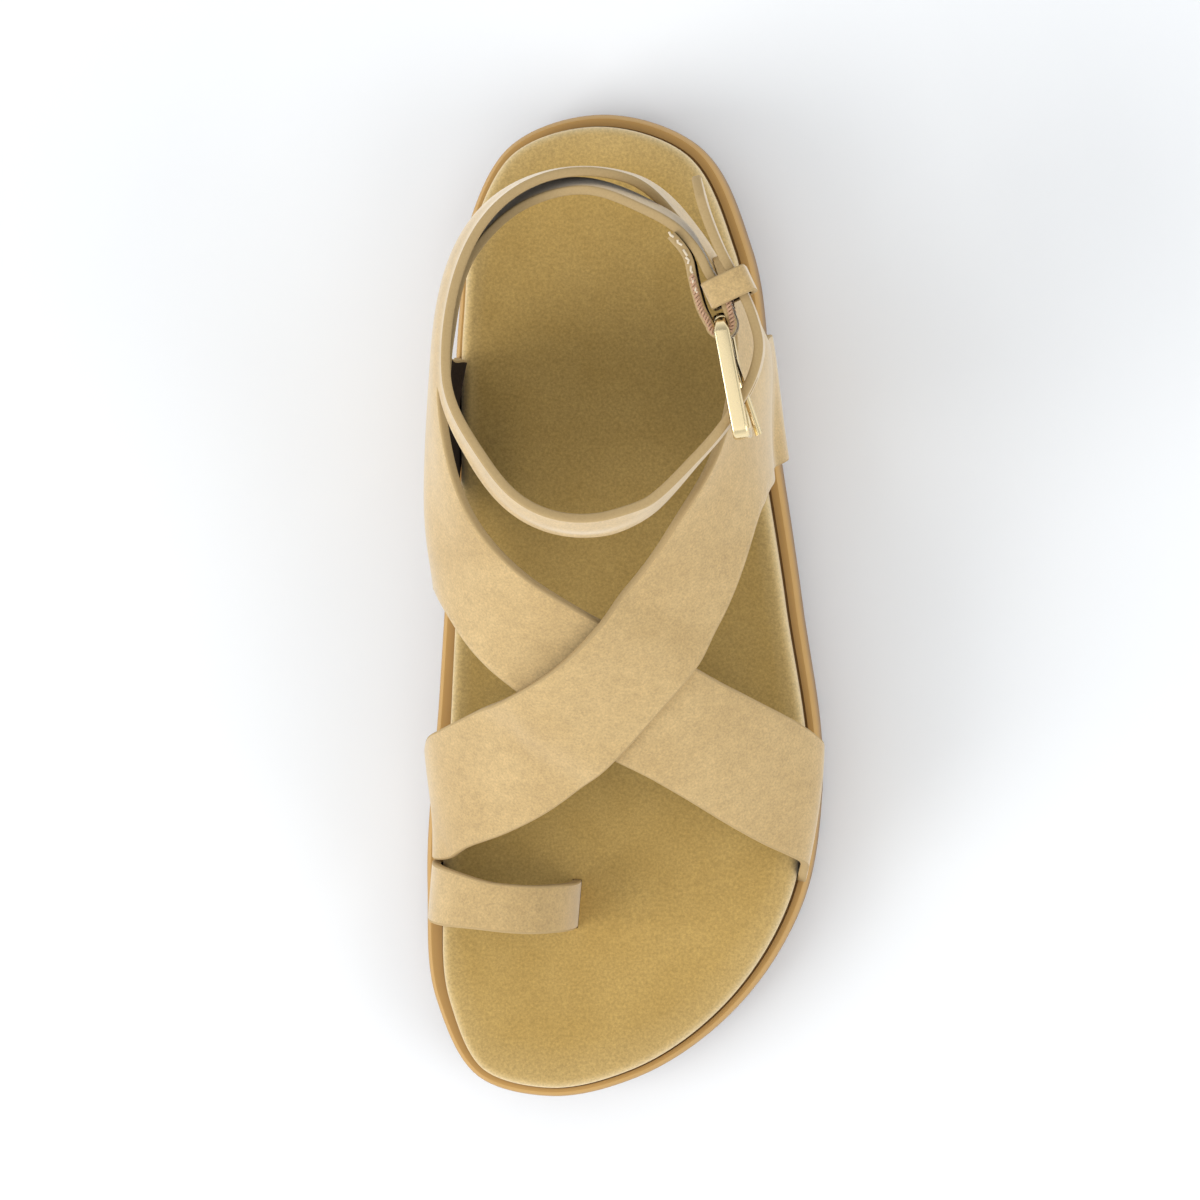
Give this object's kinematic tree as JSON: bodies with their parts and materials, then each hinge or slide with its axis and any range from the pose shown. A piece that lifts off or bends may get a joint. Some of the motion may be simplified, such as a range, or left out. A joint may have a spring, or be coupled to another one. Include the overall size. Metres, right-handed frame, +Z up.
{
  "type": "sandal",
  "caption": "Flat ankle wrap sandal with crossed instep straps, a heel band, a buckled ankle band, a big toe loop and a moulded footbed on a lugged sole.",
  "frame": {"origin": "centre of the overall box, on the floor under the sole", "axes": "+Y from toe to heel, +X to the outer side of the foot, +Z up"},
  "size_m": [0.1058, 0.2582, 0.117],
  "materials": {
    "outsole_rubber": "satin caramel moulded sole",
    "footbed_suede": "matte olive-tan suede cover",
    "strap_nubuck": "matte sand nubuck with plain cut edges",
    "buckle_gold": "polished pale gold plate"
  },
  "bodies": {
    "root": {"outsole": "outsole_rubber", "footbed": "footbed_suede", "upper": "strap_nubuck", "toe_loop": "strap_nubuck", "buckle_strap": "strap_nubuck", "keeper": "strap_nubuck", "buckle_frame": "buckle_gold", "buckle_prong": "buckle_gold"}
  },
  "joints": []
}
